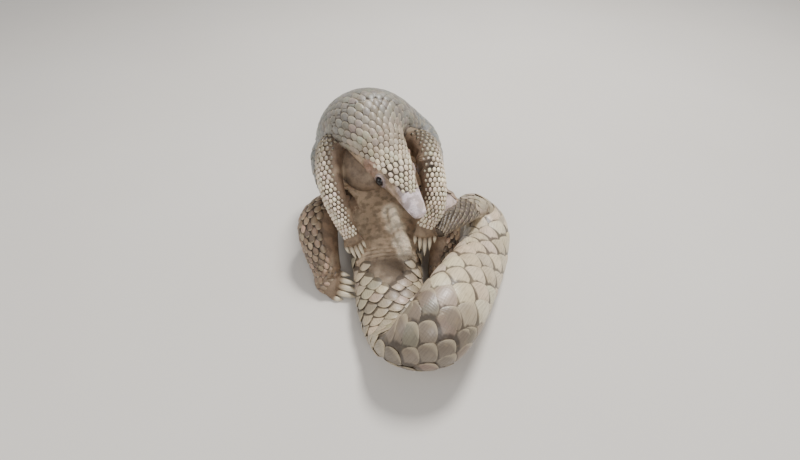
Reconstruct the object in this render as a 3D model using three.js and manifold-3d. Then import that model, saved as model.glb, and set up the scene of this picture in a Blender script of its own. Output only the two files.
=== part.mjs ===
// A pangolin sitting hunched on its rump, its head bent to its lap and its tail curled forward and round.
// Millimetres, +Z up, the animal faces -Y. The origin is on the floor, where the root of the tail rests.
import * as THREE from "three";
import { mergeVertices } from "three/addons/utils/BufferGeometryUtils.js";
import Module from "manifold-3d";

const wasm = await Module();
wasm.setup();

// Driving dimensions
const GAP = 0.3;
const SCALE_RELIEF = 2.6;
const LEG_RELIEF = 1.8;
const HEAD_RELIEF = 1.1;
const SCALE_REACH = 0.86;
const STEP = 0.35;
const EYE_RADIUS = 5;
const HIND_CLAW = 30;
const FORE_CLAW = 27;
const HIND_CLAW_RADIUS = 4.2;
const FORE_CLAW_RADIUS = 2.9;

// The line of the head, which the snout, eyes and ears are placed on
const NOSE = new THREE.Vector3(48, -79, 120);
const HEAD_AXIS = new THREE.Vector3(-0.46, 0.774, 0.347).normalize();
const HEAD_RIGHT = new THREE.Vector3(-0.85, -0.52, 0.035).normalize();
const HEAD_TOP = new THREE.Vector3().crossVectors(HEAD_AXIS, HEAD_RIGHT).normalize();

// A point of the head: so far back from the nose, to the animal's right, and up.
function headPoint(back, right = 0, up = 0) {
  return NOSE.clone()
    .addScaledVector(HEAD_AXIS, back)
    .addScaledVector(HEAD_RIGHT, right)
    .addScaledVector(HEAD_TOP, up);
}

// A cross-section of a body part: its middle, the way its back faces, its reach to the sides, back and belly.
function station(at, dorsal, wide, high, low = high) {
  return { at: new THREE.Vector3(...at), dorsal: new THREE.Vector3(...dorsal), wide, high, low };
}

function headStation(back, wide, high, low) {
  return station(headPoint(back).toArray(), HEAD_TOP.toArray(), wide, high, low);
}

// The whole length of the animal, from the nose over the back to the tip of the tail
const SPINE = [
  headStation(0, 9.5, 9, 8),
  headStation(12, 12.5, 11.5, 10.5),
  headStation(32, 16.5, 15, 14),
  headStation(61, 25, 20, 19),
  headStation(80, 29.5, 24, 22),
  headStation(100, 34, 29, 25),
  station([-10, 19, 163], [0.1, -0.05, 1], 41, 35, 26),
  station([-17, 41, 164], [0, 0.25, 0.97], 55, 48, 30),
  station([-19, 61, 149], [0, 0.6, 0.8], 74, 56, 35),
  station([-15, 70, 122], [0, 0.94, 0.34], 93, 58, 50),
  station([-12, 67, 92], [0, 1, -0.08], 99, 60, 55),
  station([-6, 54, 64], [0, 0.85, -0.5], 95, 56, 48),
  station([-2, 27, 44], [0, 0.5, -0.86], 77, 48, 38),
  station([0, -12, 36], [0, 0.05, -1], 59, 39, 29),
  station([3, -55, 34], [0, 0, -1], 50, 36, 26),
  station([7, -100, 31], [0, 0, -1], 44, 32, 24),
  station([12, -145, 29], [0, 0, -1], 42, 30, 23),
  station([24, -184, 30], [0, -0.35, -0.93], 40, 28, 20),
  station([38, -212, 46], [0, -1, -0.1], 39, 25, 18),
  station([58, -210, 68], [0.1, -0.75, 0.65], 39, 24, 18),
  station([81, -180, 74], [0.2, -0.3, 0.93], 39, 24, 19),
  station([103, -140, 62], [0.3, -0.2, 0.93], 38, 24, 20),
  station([126, -94, 42], [0.3, -0.2, 0.93], 36, 24, 20),
  station([143, -52, 26], [0.15, -0.1, 1], 34, 24, 23),
  station([153, -16, 24], [0.05, 0, 1], 32, 22, 22),
  station([155, 10, 29], [0.45, -0.1, 0.85], 29, 20, 18),
  station([141, 18, 42], [0.6, 0.3, 0.75], 25, 18, 15),
  station([124, 0, 58], [0.3, 0, 0.95], 20, 15, 12),
  station([106, -29, 72], [0, -0.2, 1], 17, 12, 10),
  station([88, -51, 80], [-0.1, -0.2, 1], 13.5, 10.5, 8.5),
  station([73, -70, 79], [-0.2, -0.3, 0.9], 8.5, 7, 6),
];

// Legs: each from inside the trunk to the wrist or ankle
const LEGS = {
  foreleg_right: [
    station([-50, 50, 142], [-0.75, 0.2, 0.6], 26, 22),
    station([-68, 20, 144], [-0.8, -0.1, 0.5], 22, 20),
    station([-70, -8, 130], [-0.8, -0.5, 0.3], 18.5, 17),
    station([-63, -34, 112], [-0.7, -0.6, 0.4], 17, 15),
    station([-54, -50, 95], [-0.6, -0.6, 0.5], 15, 13),
    station([-47, -61, 82], [-0.6, -0.6, 0.5], 13, 11),
  ],
  foreleg_left: [
    station([32, 56, 136], [0.75, 0.2, 0.6], 24, 20),
    station([56, 27, 146], [0.8, -0.1, 0.5], 21, 18),
    station([62, -4, 138], [0.8, -0.5, 0.3], 19, 17),
    station([67, -32, 121], [0.7, -0.6, 0.4], 17, 15),
    station([66, -48, 103], [0.5, -0.7, 0.5], 15, 14),
    station([60, -57, 90], [0.4, -0.8, 0.4], 13, 12),
  ],
  hindleg_right: [
    station([-50, 32, 46], [-0.4, 0.2, 0.9], 34, 29),
    station([-76, 0, 53], [-0.6, 0, 0.8], 31, 28),
    station([-91, -31, 56], [-0.8, -0.2, 0.6], 29, 28),
    station([-86, -62, 42], [-0.8, -0.3, 0.5], 25, 24),
    station([-76, -89, 22], [-0.7, -0.5, 0.6], 20, 18),
  ],
  hindleg_left: [
    station([44, 36, 44], [-0.1, 0.3, 0.95], 32, 27),
    station([70, 16, 58], [0.2, 0.4, 0.9], 26, 24),
    station([84, -5, 64], [0.7, 0.1, 0.7], 24, 24),
    station([86, -42, 44], [0.8, -0.3, 0.5], 21, 20),
    station([79, -82, 22], [0.6, -0.5, 0.6], 18, 17),
  ],
};

// Feet: middle, way the toes point, way across them from inner to outer, size, share of each claw's length
const FEET = {
  forefoot_right: {
    leg: "foreleg_right", at: [-42, -68, 72], ahead: [0.36, -0.53, -0.77], across: [-0.9, -0.2, -0.35],
    half: [13, 12, 9], claw: FORE_CLAW, shares: [0.45, 0.8, 1, 0.75, 0.4],
  },
  forefoot_left: {
    leg: "foreleg_left", at: [56, -63, 81], ahead: [0, -0.5, -0.85], across: [1, 0, -0.1],
    half: [12, 13, 9], claw: FORE_CLAW, shares: [0.45, 0.75, 1, 0.75, 0.4],
  },
  hindfoot_right: {
    leg: "hindleg_right", at: [-74, -103, 14], ahead: [0.95, -0.3, -0.02], across: [-0.1, -0.8, -0.6],
    half: [14, 17, 12], claw: HIND_CLAW, shares: [0.4, 0.8, 1, 0.9, 0.4],
  },
  hindfoot_left: {
    leg: "hindleg_left", at: [76, -104, 11], ahead: [-0.2, -0.97, -0.05], across: [0.97, -0.2, 0],
    half: [15, 15, 11], claw: HIND_CLAW, shares: [0.4, 0.7, 0.8, 0.7, 0.4],
  },
};

// Catmull-Rom blend of a list of numbers at a place between its entries.
function blend(values, x) {
  const last = values.length - 1;
  const i = Math.min(Math.floor(x), last - 1);
  const f = x - i;
  const [a, b, c, d] = [-1, 0, 1, 2].map((k) => values[THREE.MathUtils.clamp(i + k, 0, last)]);
  return b + 0.5 * f * (c - a + f * (2 * a - 5 * b + 4 * c - d + f * (3 * (b - c) + d - a)));
}

// A line through stations, read by its length in millimetres. It is sampled once, every SAMPLE_STEP.
const SAMPLE_STEP = 1.5;
const SMOOTHING = 5;
const SQUEEZE_FROM = 0.5;
const SQUEEZE_ROOM = 0.32;
const ROOM_FROM = 0.25;
const ROOM_TO = 0.5;
class Path {
  constructor(stations) {
    const curve = new THREE.CatmullRomCurve3(stations.map((s) => s.at), false, "centripetal");
    curve.arcLengthDivisions = 800;
    this.length = curve.getLength();
    const lengths = curve.getLengths();
    const perStation = (lengths.length - 1) / (stations.length - 1);
    this.marks = stations.map((_, i) => lengths[Math.round(i * perStation)]);
    this.last = Math.ceil(this.length / SAMPLE_STEP);
    const places = Array.from({ length: this.last + 1 }, (_, i) => i / this.last);
    const middles = places.map((u) => curve.getPointAt(u));
    const pick = (list, i) => list[THREE.MathUtils.clamp(i, 0, this.last)];
    const rise = (list, i) => pick(list, i + SMOOTHING).clone().sub(pick(list, i - SMOOTHING));
    const ways = places.map((_, i) => rise(middles, i).normalize());
    this.samples = places.map((u, i) => {
      const x = curve.getUtoTmapping(u) * (stations.length - 1);
      const read = (value) => blend(stations.map(value), x);
      const dorsal = new THREE.Vector3(...["x", "y", "z"].map((axis) => read((p) => p.dorsal[axis])));
      dorsal.addScaledVector(ways[i], -dorsal.dot(ways[i])).normalize();
      return {
        middle: middles[i],
        way: ways[i],
        dorsal,
        bend: rise(ways, i).divideScalar(2 * SMOOTHING * SAMPLE_STEP),
        sizes: [read((p) => p.wide), read((p) => p.high), read((p) => p.low)],
      };
    });
  }

  // The length at which the line passes station number index.
  lengthAt(index) {
    return this.marks[index];
  }

  frame(s) {
    const x = THREE.MathUtils.clamp((s / this.length) * this.last, 0, this.last);
    const i = Math.min(Math.floor(x), this.last - 1);
    const [a, b] = [this.samples[i], this.samples[i + 1]];
    const mix = (key) => a[key].clone().lerp(b[key], x - i);
    const way = mix("way").normalize();
    const dorsal = mix("dorsal");
    dorsal.addScaledVector(way, -dorsal.dot(way)).normalize();
    const outside = Math.max(0, s - this.length) + Math.min(0, s);
    return {
      middle: mix("middle").addScaledVector(way, outside),
      dorsal,
      side: new THREE.Vector3().crossVectors(dorsal, way),
      bend: mix("bend"),
      sizes: a.sizes.map((size, k) => THREE.MathUtils.lerp(size, b.sizes[k], x - i)),
    };
  }

  // How far the skin lies from the line in a frame, at an angle from the back.
  reach(frame, angle, raised = 0) {
    const [wide, high, low] = frame.sizes;
    const [c, w] = [Math.cos(angle), Math.sin(angle)];
    return new THREE.Vector3()
      .addScaledVector(frame.side, (wide + raised) * w)
      .addScaledVector(frame.dorsal, ((c > 0 ? high : low) + raised) * c);
  }

  // The surface point at length s and angle from the back, raised off the smooth skin.
  // Flesh squeezes on the inside of a bend.
  surface(s, angle, raised = 0) {
    const f = this.frame(s);
    const reach = this.reach(f, angle, raised);
    const inward = reach.dot(f.bend);
    if (inward > SQUEEZE_FROM) {
      const squeezed = SQUEEZE_FROM + SQUEEZE_ROOM * (1 - Math.exp((SQUEEZE_FROM - inward) / SQUEEZE_ROOM));
      reach.multiplyScalar(squeezed / inward);
    }
    return f.middle.add(reach);
  }

  // 1 where the skin has room for scales, and 0 on the inside of a tight bend.
  room(s, angle) {
    const f = this.frame(s);
    return 1 - THREE.MathUtils.smoothstep(this.reach(f, angle).dot(f.bend), ROOM_FROM, ROOM_TO);
  }
}

function solidOf(points, triVerts) {
  const vertProperties = new Float32Array(points.flatMap((p) => p.toArray()));
  return new wasm.Manifold(new wasm.Mesh({ numProp: 3, vertProperties, triVerts }));
}

// A closed solid through rings of points, with a fan of triangles over each end.
function loft(rings, startCap, endCap) {
  const around = rings[0].length;
  const points = [...rings.flat(), startCap, endCap];
  const triangles = [];
  for (let i = 0; i + 1 < rings.length; i++) {
    for (let k = 0; k < around; k++) {
      const next = (k + 1) % around;
      const [a, b] = [i * around + k, i * around + next];
      triangles.push([a, b, a + around], [b, b + around, a + around]);
    }
  }
  const last = (rings.length - 1) * around;
  for (let k = 0; k < around; k++) {
    const next = (k + 1) % around;
    triangles.push([next, k, points.length - 2], [last + k, last + next, points.length - 1]);
  }
  const facingOut = solidOf(points, new Uint32Array(triangles.flat()));
  return facingOut.volume() > 0 ? facingOut : solidOf(points, new Uint32Array(triangles.flat().reverse()));
}

// Angles round a tube: FACETS to each column of scales over the scaled arc, and a few over the bare rest.
const FACETS = 4;
function anglesRound(columns, arc, bareSteps) {
  const scaled = columns * FACETS;
  const count = scaled + (bareSteps ? 1 : 0);
  const angles = Array.from({ length: count }, (_, k) => -arc + (2 * arc * k) / scaled);
  for (let k = 1; k < bareSteps; k++) angles.push(arc + ((2 * Math.PI - 2 * arc) * k) / bareSteps);
  return angles;
}

// A tube whose skin carries rows of overlapping scales that point along it, each row half a scale round.
// covered tells where scales grow: 1 on them and 0 on bare skin. A scale's free edge stands off the next row.
function scaledTube(path, options) {
  const { from, to, columns, rows, relief, covered = () => 1 } = options;
  const { arc = Math.PI, bareSteps = 0, startDome = 0, endDome = 0 } = options;
  const angles = anglesRound(columns, arc, bareSteps);
  const lead = (to - from) / (rows + 0.9);
  const smoothRing = (s) =>
    angles.map((angle) => path.surface(s, angle, relief * 0.5 * covered(angle, s)));
  const rings = [smoothRing(from)];
  for (let row = 0; row < rows; row++) {
    const base = from + lead * (row + 0.05);
    const shift = row % 2 ? FACETS / 2 : 0;
    const edge = angles.map((angle, k) => {
      const offset = ((k + shift) % FACETS) / FACETS;
      const fromTip = 2 * Math.min(offset, 1 - offset);
      const share = covered(angle, base) * path.room(base, angle);
      const rounded = 1 - fromTip ** 2.2;
      const s = base + lead * SCALE_REACH * rounded * share;
      return { angle, share, s, raised: relief * (0.3 + 0.7 * rounded) };
    });
    rings.push(edge.map((e) => path.surface(e.s, e.angle, e.raised * e.share)));
    rings.push(edge.map((e) => path.surface(e.s + STEP + lead * 0.45 * (1 - e.share), e.angle)));
  }
  rings.push(smoothRing(to));
  return loft(rings, path.frame(from - startDome).middle, path.frame(to + endDome).middle);
}

// A plain tube of few faces through all its stations.
function plainTube(path, sides, steps, dome = 0) {
  const at = (i, k) => path.surface((path.length * i) / steps, (2 * Math.PI * k) / sides);
  const ring = (i) => Array.from({ length: sides }, (_, k) => at(i, k));
  const rings = Array.from({ length: steps + 1 }, (_, i) => ring(i));
  return loft(rings, path.frame(-dome).middle, path.frame(path.length + dome).middle);
}

function ball(middle, radius, sides) {
  const rings = Array.from({ length: sides / 2 - 1 }, (_, i) => {
    const polar = (Math.PI * (i + 1)) / (sides / 2);
    return Array.from({ length: sides }, (_, k) => {
      const turn = (2 * Math.PI * k) / sides;
      return middle.clone().add(new THREE.Vector3().setFromSphericalCoords(radius, polar, turn));
    });
  });
  const pole = new THREE.Vector3(0, radius, 0);
  return loft(rings, middle.clone().add(pole), middle.clone().sub(pole));
}

// Smooth step from 0 to 1 as x goes from low to high.
const ramp = (x, low, high) => THREE.MathUtils.smoothstep(x, low, high);
const fromBack = (angle) => Math.abs(Math.atan2(Math.sin(angle), Math.cos(angle)));

const spine = new Path(SPINE);

// Where scales grow: the cap of the head behind the bare snout, the trunk's back and sides, and all the tail.
const SCALED_FROM = 30;
function headCover(angle, s) {
  return ramp(s, SCALED_FROM, SCALED_FROM + 6) * (1 - ramp(fromBack(angle), 1.2, 1.55));
}
function trunkCover(angle) {
  return 1 - ramp(fromBack(angle), 1.8, 2.1);
}
const ROOT_SCALED = spine.lengthAt(15);
function tailCover(angle, s) {
  return Math.max(trunkCover(angle), ramp(s, ROOT_SCALED - 22, ROOT_SCALED));
}
function legCover(angle) {
  return 1 - ramp(fromBack(angle), 2, 2.5);
}

// The spine's nodes: the station each starts and ends at, scales in a row, number of rows
const SPINE_NODES = [
  {
    name: "head", from: 0, to: 5, columns: 7, rows: 7, relief: HEAD_RELIEF,
    covered: headCover, arc: 1.6, bareSteps: 6, startDome: 3,
  },
  {
    name: "neck", from: 5, to: 7, columns: 9, rows: 4, relief: 1.8,
    covered: trunkCover, arc: 2.1, bareSteps: 5,
  },
  {
    name: "torso", from: 7, to: 13, columns: 11, rows: 12, relief: SCALE_RELIEF,
    covered: trunkCover, arc: 2.1, bareSteps: 5,
  },
  { name: "tail_root", from: 13, to: 17, columns: 8, rows: 7, relief: SCALE_RELIEF, covered: tailCover },
  { name: "tail_bend", from: 17, to: 20, columns: 7, rows: 6, relief: SCALE_RELIEF },
  { name: "tail_middle", from: 20, to: 24, columns: 6, rows: 9, relief: SCALE_RELIEF },
  { name: "tail_curl", from: 24, to: 27, columns: 5, rows: 5, relief: 2 },
  { name: "tail_tip", from: 27, to: 30, columns: 5, rows: 5, relief: 1.2, endDome: 4 },
];

// The largest closed body of a solid, once points closer than a thousandth of a millimetre are one.
function largest(solid) {
  const merged = mergeVertices(geometryOf(solid), 1e-3);
  const vertProperties = new Float32Array(merged.attributes.position.array);
  const triVerts = new Uint32Array(merged.index.array);
  const rebuilt = new wasm.Manifold(new wasm.Mesh({ numProp: 3, vertProperties, triVerts }));
  const [body] = rebuilt.decompose().sort((a, b) => b.volume() - a.volume());
  return body.numTri() < solid.numTri() ? largest(body) : body;
}

const made = new Map();

for (const node of SPINE_NODES) {
  const [from, to] = [spine.lengthAt(node.from) + GAP / 2, spine.lengthAt(node.to) - GAP / 2];
  made.set(node.name, scaledTube(spine, { ...node, from, to }));
}

// Legs
for (const [name, stations] of Object.entries(LEGS)) {
  const path = new Path(stations);
  const rows = name.startsWith("fore") ? 5 : 4;
  const options = { from: 0, to: path.length, columns: 6, rows, relief: LEG_RELIEF, covered: legCover };
  made.set(name, scaledTube(path, options));
}

// Feet, each a pad with five toes, and a claw on each toe
for (const [name, foot] of Object.entries(FEET)) {
  const at = new THREE.Vector3(...foot.at);
  const ahead = new THREE.Vector3(...foot.ahead).normalize();
  const across = new THREE.Vector3(...foot.across);
  across.addScaledVector(ahead, -across.dot(ahead)).normalize();
  const top = new THREE.Vector3().crossVectors(across, ahead);
  if (top.z < 0) top.negate();
  const [long, wide, thick] = foot.half;
  const place = (forward, sideways, up) =>
    at.clone().addScaledVector(ahead, forward).addScaledVector(across, sideways).addScaledVector(top, up);
  const leg = LEGS[foot.leg].at(-1);
  const ankle = new Path([
    station(leg.at.toArray(), leg.dorsal.toArray(), leg.wide * 0.96, leg.high * 0.96),
    station(foot.at, leg.dorsal.toArray(), wide * 0.9, thick * 0.9),
  ]);
  const sole = new Path([
    station(place(-long * 0.5, 0, 0).toArray(), top.toArray(), wide * 0.9, thick * 0.9),
    station(place(0, 0, 0).toArray(), top.toArray(), wide, thick),
    station(place(long * 0.75, 0, 0).toArray(), top.toArray(), wide * 0.85, thick * 0.75),
  ]);
  const rounding = thick * 0.3;
  const clawRadius = foot.claw === HIND_CLAW ? HIND_CLAW_RADIUS : FORE_CLAW_RADIUS;
  const toes = foot.shares.map((share, i) => {
    const sideways = ((i - 2) / 2) * wide;
    const root = place(long * 0.2, sideways * 0.7, 0);
    const end = place(long * (0.75 + 0.35 * share), sideways, -1);
    const radius = clawRadius * (0.8 + 0.35 * share);
    return { share, sideways, root, end, radius };
  });
  const toeTubes = toes.map((toe) =>
    plainTube(
      new Path([
        station(toe.root.toArray(), top.toArray(), toe.radius * 1.3, toe.radius * 1.2),
        station(toe.end.toArray(), top.toArray(), toe.radius * 1.1, toe.radius),
      ]), 6, 1,
    ),
  );
  const pads = [plainTube(ankle, 8, 1, rounding), plainTube(sole, 8, 3, rounding)];
  made.set(name, wasm.Manifold.union([...pads, ...toeTubes]));
  toes.forEach((toe, i) => {
    const length = foot.claw * toe.share;
    const line = (share, up) =>
      toe.end.clone().addScaledVector(ahead, length * share).addScaledVector(top, up).toArray();
    const path = new Path([
      station(line((GAP + 0.1) / length, 0), top.toArray(), toe.radius * 0.8, toe.radius * 0.8),
      station(line(0.25, toe.radius * 0.35), top.toArray(), toe.radius * 0.8, toe.radius * 0.75),
      station(line(0.65, toe.radius * 0.1), top.toArray(), toe.radius * 0.6, toe.radius * 0.55),
      station(line(1, -toe.radius * 0.7), top.toArray(), 0.7, 0.6),
    ]);
    made.set(`claw_${name}_${i + 1}`, plainTube(path, 6, 3));
  });
}

// Eyes, with the lids raised round them, and ears as small cups
const eyeMiddle = (sign) => headPoint(62, sign * 24, -1);
const earMiddle = (sign) => headPoint(81, sign * 26, 2);
for (const [side, sign] of [["right", 1], ["left", -1]]) {
  made.set(`eye_${side}`, ball(eyeMiddle(sign), EYE_RADIUS, 10));
  const out = HEAD_RIGHT.clone().multiplyScalar(sign);
  const ear = new Path([
    station(earMiddle(sign).addScaledVector(out, -3).toArray(), HEAD_TOP.toArray(), 4, 8),
    station(earMiddle(sign).addScaledVector(out, 1).toArray(), HEAD_TOP.toArray(), 5, 9.5),
    station(earMiddle(sign).addScaledVector(out, 4).toArray(), HEAD_TOP.toArray(), 4, 8.5),
  ]);
  const cup = ball(earMiddle(sign).addScaledVector(out, 5.5), 4.2, 8);
  made.set(`ear_${side}`, plainTube(ear, 8, 2, 1).subtract(cup));
}

// The finer forms of the head: lids, lips, the line of the mouth and the nostrils
function dressHead(head) {
  const added = [1, -1].map((sign) => {
    const out = HEAD_RIGHT.clone().multiplyScalar(sign);
    const ring = Array.from({ length: 3 }, (_, i) => eyeMiddle(sign).addScaledVector(out, -1.5 + i * 1.6));
    const lid = (p, i) => station(p.toArray(), HEAD_TOP.toArray(), 7.6 - i * 0.7, 6.6 - i * 0.7);
    return plainTube(new Path(ring.map(lid)), 8, 2);
  });
  const cut = [1, -1].flatMap((sign) => [
    ball(headPoint(-1.6, sign * 3.6, 1.8), 1.5, 6),
    plainTube(
      new Path([
        station(headPoint(2, sign * 7.8, -4.2).toArray(), HEAD_TOP.toArray(), 1.6, 0.45),
        station(headPoint(14, sign * 11.1, -5.1).toArray(), HEAD_TOP.toArray(), 1.8, 0.45),
        station(headPoint(26, sign * 13.5, -5.6).toArray(), HEAD_TOP.toArray(), 1.6, 0.4),
      ]), 4, 3,
    ),
  ]);
  return head.add(wasm.Manifold.union(added)).subtract(wasm.Manifold.union(cut));
}

// The bare throat, from inside the chest to under the cheeks
const THROAT = new Path([
  station([-30, 55, 118], [0, 0, 1], 36, 34),
  station([-32, 20, 122], [0, 0, 1], 33, 30),
  station([-22, -8, 124], [0, 0, 1], 24, 22),
  station([-6, -19, 127], [0, 0, 1], 15, 14),
]);

// The bare fold of skin that lies over the belly's left side
const BELLY_FOLD = new Path([
  station([12, -16, 66], [0, -0.2, 1], 8, 7),
  station([18, -40, 62], [0, -0.2, 1], 9, 9),
  station([27, -66, 57], [0, -0.3, 1], 10, 10),
  station([33, -86, 52], [0, -0.5, 1], 8, 8),
]);

// Each node gives way to those made before it, and what would reach below the floor is cut flat.
const ORDER = [
  "torso", "tail_root", "neck", "tail_bend", "tail_middle", "tail_curl", "tail_tip",
  "eye_right", "eye_left", "head", "ear_right", "ear_left", ...Object.keys(LEGS), ...Object.keys(FEET),
  ...[...made.keys()].filter((name) => name.startsWith("claw_")),
];
const FLOOR_NODES = /^(torso|tail|hind|claw_hind)/;

function overlaps(a, b) {
  const [p, q] = [a.boundingBox(), b.boundingBox()];
  return [0, 1, 2].every((i) => p.min[i] < q.max[i] && q.min[i] < p.max[i]);
}

// A solid with every face moved out by the gap, for cutting its neighbours clear of it.
const CLEARANCE = GAP * 0.9;
const LEAST_CLEARANCE = 0.05;
const SHARPEST = 0.4;
function grown(solid) {
  const { vertProperties, triVerts } = solid.getMesh();
  const points = Array.from({ length: vertProperties.length / 3 }, (_, i) =>
    new THREE.Vector3().fromArray(vertProperties, 3 * i));
  const faces = Array.from({ length: triVerts.length / 3 }, (_, i) => [...triVerts.slice(3 * i, 3 * i + 3)]);
  const normals = faces.map((face) => {
    const [a, b, c] = face.map((v) => points[v]);
    return new THREE.Triangle(a, b, c).getNormal(new THREE.Vector3());
  });
  const around = points.map(() => []);
  faces.forEach((face, i) => face.forEach((v) => around[v].push(normals[i])));
  const moved = points.map((point, i) => {
    const out = around[i].reduce((sum, n) => sum.add(n), new THREE.Vector3()).normalize();
    const least = Math.min(...around[i].map((n) => n.dot(out)));
    return point.clone().addScaledVector(out, CLEARANCE / Math.max(SHARPEST, least));
  });
  return solidOf(moved, triVerts);
}

// A box from its lowest to its highest corner.
function boxOf(min, max) {
  const low = new THREE.Vector3(...min);
  const size = new THREE.Vector3(...max).sub(low);
  const box = new THREE.BoxGeometry(...size.toArray());
  box.translate(...low.addScaledVector(size, 0.5).toArray());
  box.deleteAttribute("normal");
  box.deleteAttribute("uv");
  const merged = mergeVertices(box);
  const vertProperties = new Float32Array(merged.attributes.position.array);
  const triVerts = new Uint32Array(merged.index.array);
  return new wasm.Manifold(new wasm.Mesh({ numProp: 3, vertProperties, triVerts }));
}

// Cuts away, with a small box each, the last slivers in which a solid still overlaps another.
const LEAST_OVERLAP = 0.001;
function cutRest(solid, other) {
  if (!overlaps(solid, other)) return solid;
  const rest = solid.intersect(other);
  if (rest.volume() < LEAST_OVERLAP) return solid;
  const boxes = rest.decompose().map((sliver) => {
    const { min, max } = sliver.boundingBox();
    return boxOf(min.map((low) => low - LEAST_CLEARANCE), max.map((high) => high + LEAST_CLEARANCE));
  });
  return largest(solid.subtract(wasm.Manifold.union(boxes)));
}

const done = [];
const solids = new Map();
for (const name of ORDER) {
  let solid = made.get(name);
  if (name === "head") solid = dressHead(solid);
  if (name === "neck") solid = solid.add(plainTube(THROAT, 12, 4, 4));
  if (name === "tail_root") solid = solid.add(plainTube(BELLY_FOLD, 8, 4, 5));
  for (const other of done) {
    if (overlaps(solid, other.cutter)) solid = solid.subtract(other.cutter);
  }
  if (FLOOR_NODES.test(name)) solid = solid.trimByPlane([0, 0, 1], 0);
  solid = largest(solid);
  for (const other of done) solid = cutRest(solid, other.solid);
  solids.set(name, solid);
  done.push({ solid, cutter: grown(solid) });
}

// Materials
const MATERIALS = {
  scale: { color: 0x9a8f78, roughness: 0.45, metalness: 0.0 },
  skin: { color: 0xb79a8c, roughness: 0.7, metalness: 0.0 },
  claw: { color: 0xd8cbb0, roughness: 0.4, metalness: 0.0 },
  eye: { color: 0x120c10, roughness: 0.1, metalness: 0.0 },
};
function materialOf(name) {
  const [part] = name.split("_");
  const kind = { claw: "claw", eye: "eye", ear: "skin" }[part] ?? "scale";
  return new THREE.MeshStandardMaterial(MATERIALS[kind]);
}

function geometryOf(solid) {
  const mesh = solid.getMesh();
  const geometry = new THREE.BufferGeometry();
  geometry.setAttribute("position", new THREE.BufferAttribute(new Float32Array(mesh.vertProperties), 3));
  geometry.setIndex(new THREE.BufferAttribute(new Uint32Array(mesh.triVerts), 1));
  return geometry;
}

const pangolin = new THREE.Group();
for (const [name, solid] of solids) {
  const geometry = geometryOf(solid);
  geometry.computeVertexNormals();
  const mesh = new THREE.Mesh(geometry, materialOf(name));
  mesh.name = name;
  pangolin.add(mesh);
}

export default pangolin;
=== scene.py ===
# The looks of a life-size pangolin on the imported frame: one skin, the scales over it, eyes and claws.
# Metres, +Z up, the animal faces -Y. Stations and feet are in millimetres; other lengths carry MM.
import math

import bmesh
import bpy
import numpy as np
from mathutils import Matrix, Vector
from mathutils.kdtree import KDTree


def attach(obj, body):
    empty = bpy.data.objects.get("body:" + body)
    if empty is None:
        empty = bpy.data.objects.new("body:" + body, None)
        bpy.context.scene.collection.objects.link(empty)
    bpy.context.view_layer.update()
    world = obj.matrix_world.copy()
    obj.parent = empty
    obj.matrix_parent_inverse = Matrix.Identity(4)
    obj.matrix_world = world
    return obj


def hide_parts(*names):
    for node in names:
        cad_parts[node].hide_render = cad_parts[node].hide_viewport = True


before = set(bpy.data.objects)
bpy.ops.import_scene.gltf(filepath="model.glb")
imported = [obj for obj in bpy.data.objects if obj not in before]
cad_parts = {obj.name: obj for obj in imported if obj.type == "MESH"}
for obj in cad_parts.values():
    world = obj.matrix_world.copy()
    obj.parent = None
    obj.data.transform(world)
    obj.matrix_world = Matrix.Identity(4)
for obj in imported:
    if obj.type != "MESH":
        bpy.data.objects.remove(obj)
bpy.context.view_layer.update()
scene = bpy.context.scene

MM = 0.001
TINY = 1e-9
rng = np.random.default_rng(7)

# The head's line, which the eyes, ears, mouth and nostrils are placed on
NOSE = np.array([48.0, -79.0, 120.0])
HEAD_AXIS = np.array([-0.46, 0.774, 0.347])
HEAD_AXIS /= np.linalg.norm(HEAD_AXIS)
HEAD_RIGHT = np.array([-0.85, -0.52, 0.035])
HEAD_RIGHT /= np.linalg.norm(HEAD_RIGHT)
HEAD_TOP = np.cross(HEAD_AXIS, HEAD_RIGHT)
HEAD_TOP /= np.linalg.norm(HEAD_TOP)


def head_point(back, right=0.0, up=0.0):
    """A point of the head in millimetres: back from the nose, to the animal's right, and up."""
    return NOSE + back * HEAD_AXIS + right * HEAD_RIGHT + up * HEAD_TOP


def head_station(back, wide, high, low):
    return head_point(back), HEAD_TOP, wide, high, low


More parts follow.
